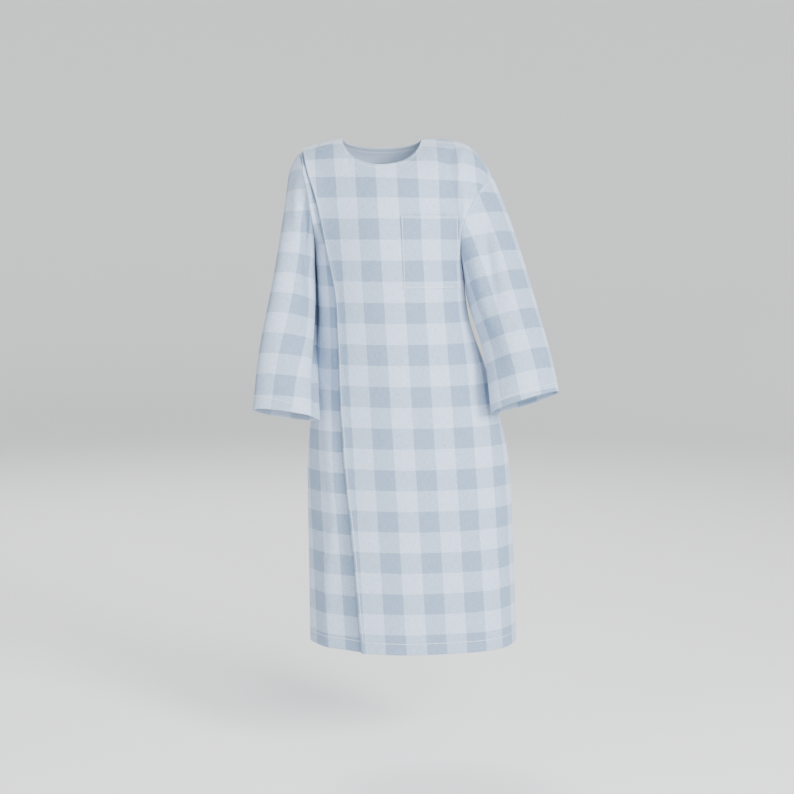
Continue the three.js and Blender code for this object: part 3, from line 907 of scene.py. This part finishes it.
def sleeve_cloth(side):
    sign = 1 if side == "left" else -1
    top, low = armhole_ends(side)
    outer = sleeve_line(SLEEVE_OUTER[side], top)
    inner = sleeve_line(SLEEVE_INNER[side], low)
    cuff = np.array([0, -1, CUFF_TILT]) / math.hypot(1, CUFF_TILT) * CUFF_HALF
    rows, around = 84, 88
    main = (rows - 3) / rows

    def plain(angle, t):
        (ox, oz), (ix, iz) = outer(t), inner(t)
        forward_outer = CUFF_FORWARD * smooth((top[1] - oz) / (top[1] - SLEEVE_OUTER[side][-1][1] * MM))
        inner_share = (low[1] - iz) / (low[1] - SLEEVE_INNER[side][-1][1] * MM)
        forward_inner = CUFF_FORWARD * smooth(inner_share) ** INNER_LATE[side]
        forward_inner = forward_inner - INNER_BACK[side] * 4 * inner_share * (1 - inner_share)
        a = np.stack([ox, -forward_outer, oz], -1)
        b = np.stack([ix, -forward_inner, iz], -1)
        is_front = (np.sin(angle) > 0)[..., None]
        ends = {}
        for face, way in (("front", -1), ("back", 1)):
            ends[face] = np.array([-sign * ARMHOLE_LEAN[side, face], way * ARMHOLE_OPEN[face], 0])
        share = t[..., None]
        fore = ends["front"] * (1 - share) + cuff * share
        aft = ends["back"] * (1 - share) - cuff * share
        depth = np.where(is_front, fore, aft)
        across = armhole_width(np.cos(angle)) * (1 - t) + np.abs(np.sin(angle)) * t
        return (a + b) / 2 + (a - b) / 2 * np.cos(angle)[..., None] + depth * across[..., None]

    ends = plain(np.array([0.0, math.pi, 0.0, math.pi]), np.array([0.0, 0.0, 1.0, 1.0]))
    seam, cuff_middle = ends[:2].mean(0), ends[2:].mean(0)
    along_sleeve = (cuff_middle - seam) / np.linalg.norm(cuff_middle - seam)

    def folded(angle, t):
        step = 0.01
        across = plain(angle + step, t) - plain(angle - step, t)
        low_t = np.clip(t - 0.005, 0, 0.99)
        along = plain(angle, low_t + 0.01) - plain(angle, low_t)
        normal = np.cross(across, along) * sign
        normal /= np.maximum(np.linalg.norm(normal, axis=-1, keepdims=True), 1e-12)
        return plain(angle, t), normal

    def place(s, t):
        t_down = np.clip(t / main, 0, 1)
        step = np.clip(np.round((t - main) * rows), 0, 3).astype(int)
        angle = s * 2 * math.pi
        t_here = np.where(step == 3, 1 - 0.055, t_down)
        point, normal = folded(angle, t_here)
        out = sum(
            height * MM
            * np.exp(-(((angle - a0 - lean * (t_here - t0)) / wide) ** 2) - ((t_here - t0) / long) ** 2)
            for a0, t0, wide, long, lean, height in SLEEVE_FOLDS[side]
        )
        out = out * smooth(t_here / 0.06) - np.array(HEM_TURN)[step]
        point = point + normal * out[..., None]
        # The cloth's own coordinates: square round the sleeve from its outer line, and along it.
        turns = np.linspace(0, 1, 41)
        ring = np.diff(plain(angle[..., None] * turns, t_here[..., None] + 0 * turns), axis=-2)
        ring = ring - (ring @ along_sleeve)[..., None] * along_sleeve
        round_run = np.linalg.norm(ring, axis=-1).sum(-1)
        cloth = np.stack([round_run, plain(angle, t_here) @ along_sleeve], -1) + SLEEVE_CHECK[side]
        length = np.linalg.norm(cuff_middle - seam)
        to_stitches = np.minimum(t_here * length - EDGE_STITCH, (0.955 - t_here) * length)
        return point, cloth, to_stitches

    piece = sheet_mesh(side + "_sleeve_cloth", around, rows, place, True)
    middle = lambda p: Vector(plain(np.array([0.0, math.pi]), np.array([0.5, 0.5])).mean(0))
    outward(piece, middle)
    thicken(piece, FLANNEL)
    finish_piece(piece, CHECKED_FLANNEL)
    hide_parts(side + "_sleeve")
    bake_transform(piece)
    return piece


# Angle round the sleeve from its outer line to the front, share down it, how wide and how
# long, how the fold turns as it goes down, and its height in millimetres.
SLEEVE_FOLDS = {
    "right": [
        (1.75, 0.26, 0.26, 0.16, 0.9, -10.0),
        (1.05, 0.24, 0.30, 0.18, 0.6, 4.0),
        (2.78, 0.60, 0.34, 0.42, 0.0, -12.0),
        (2.2, 0.66, 0.30, 0.36, 0.0, 5.0),
        (4.4, 0.35, 0.40, 0.25, 0.4, -7.0),
        (5.2, 0.50, 0.40, 0.30, -0.3, 4.0),
    ],
    "left": [
        (1.35, 0.34, 0.20, 0.16, 1.4, -9.0),
        (0.85, 0.30, 0.24, 0.18, 1.0, 3.5),
        (1.95, 0.42, 0.26, 0.18, 1.0, 4.0),
        (2.2, 0.66, 0.30, 0.20, -0.6, -4.0),
        (4.6, 0.35, 0.40, 0.25, 0.4, -7.0),
        (5.3, 0.50, 0.40, 0.30, -0.3, 4.0),
    ],
}
right_sleeve = sleeve_cloth("right")
left_sleeve = sleeve_cloth("left")

# ---------------------------------------------------------------- floor and light


def floor():
    """A pale round floor that curves up on every side, far wider than the gown."""
    made = bmesh.new()
    bmesh.ops.create_grid(made, x_segments=60, y_segments=60, size=1.0)
    for vertex in made.verts:
        x, y = vertex.co.x, vertex.co.y
        reach = max(abs(x), abs(y))
        length = math.hypot(x, y)
        run = reach * FLOOR_REACH
        way = Vector((x, y, 0)) / length if length > 0 else Vector()
        bend = max(run - FLOOR_FLAT, 0) ** 2
        vertex.co = way * (run - 0.05 * bend) + Vector((0, 0, FLOOR_Z + 0.3 * bend))
    mesh = bpy.data.meshes.new("floor")
    made.to_mesh(mesh)
    made.free()
    for polygon in mesh.polygons:
        polygon.use_smooth = True
    piece = bpy.data.objects.new("floor", mesh)
    bpy.context.scene.collection.objects.link(piece)
    material, tree = new_material("pale studio floor")
    surface = add(
        tree, "ShaderNodeBsdfPrincipled", {"Base Color": linear("#F4F5F6"), "Roughness": 0.8}
    )
    add(tree, "ShaderNodeOutputMaterial", {"Surface": surface.outputs[0]})
    mesh.materials.append(material)


FLOOR_Z = -1.068  # where the wearer stands
FLOOR_FLAT, FLOOR_REACH = 4.5, 9.0  # how far the floor is flat, and how far it goes


def soft_light(name, at, to, size, watts):
    data = bpy.data.lights.new(name, "AREA")
    data.shape = "DISK"
    data.size = size
    data.energy = watts
    light = bpy.data.objects.new(name, data)
    light.location = at
    light.rotation_euler = (Vector(to) - Vector(at)).to_track_quat("-Z", "Y").to_euler()
    bpy.context.scene.collection.objects.link(light)


floor()
GOWN_MIDDLE = (0.03, 0, -0.42)
soft_light("key", (2.3, -2.8, 1.1), GOWN_MIDDLE, 1.3, 230)
soft_light("fill", (0.9, -3.4, 0.9), GOWN_MIDDLE, 1.2, 95)
soft_light("side", (-2.6, -2.2, 0.6), GOWN_MIDDLE, 1.6, 30)
soft_light("back", (-0.8, 2.6, 1.8), GOWN_MIDDLE, 1.8, 90)

world = bpy.data.worlds.new("pale studio")
world.use_nodes = True
world.node_tree.nodes["Background"].inputs["Color"].default_value = linear("#FFFFFF")
world.node_tree.nodes["Background"].inputs["Strength"].default_value = 0.62
bpy.context.scene.world = world
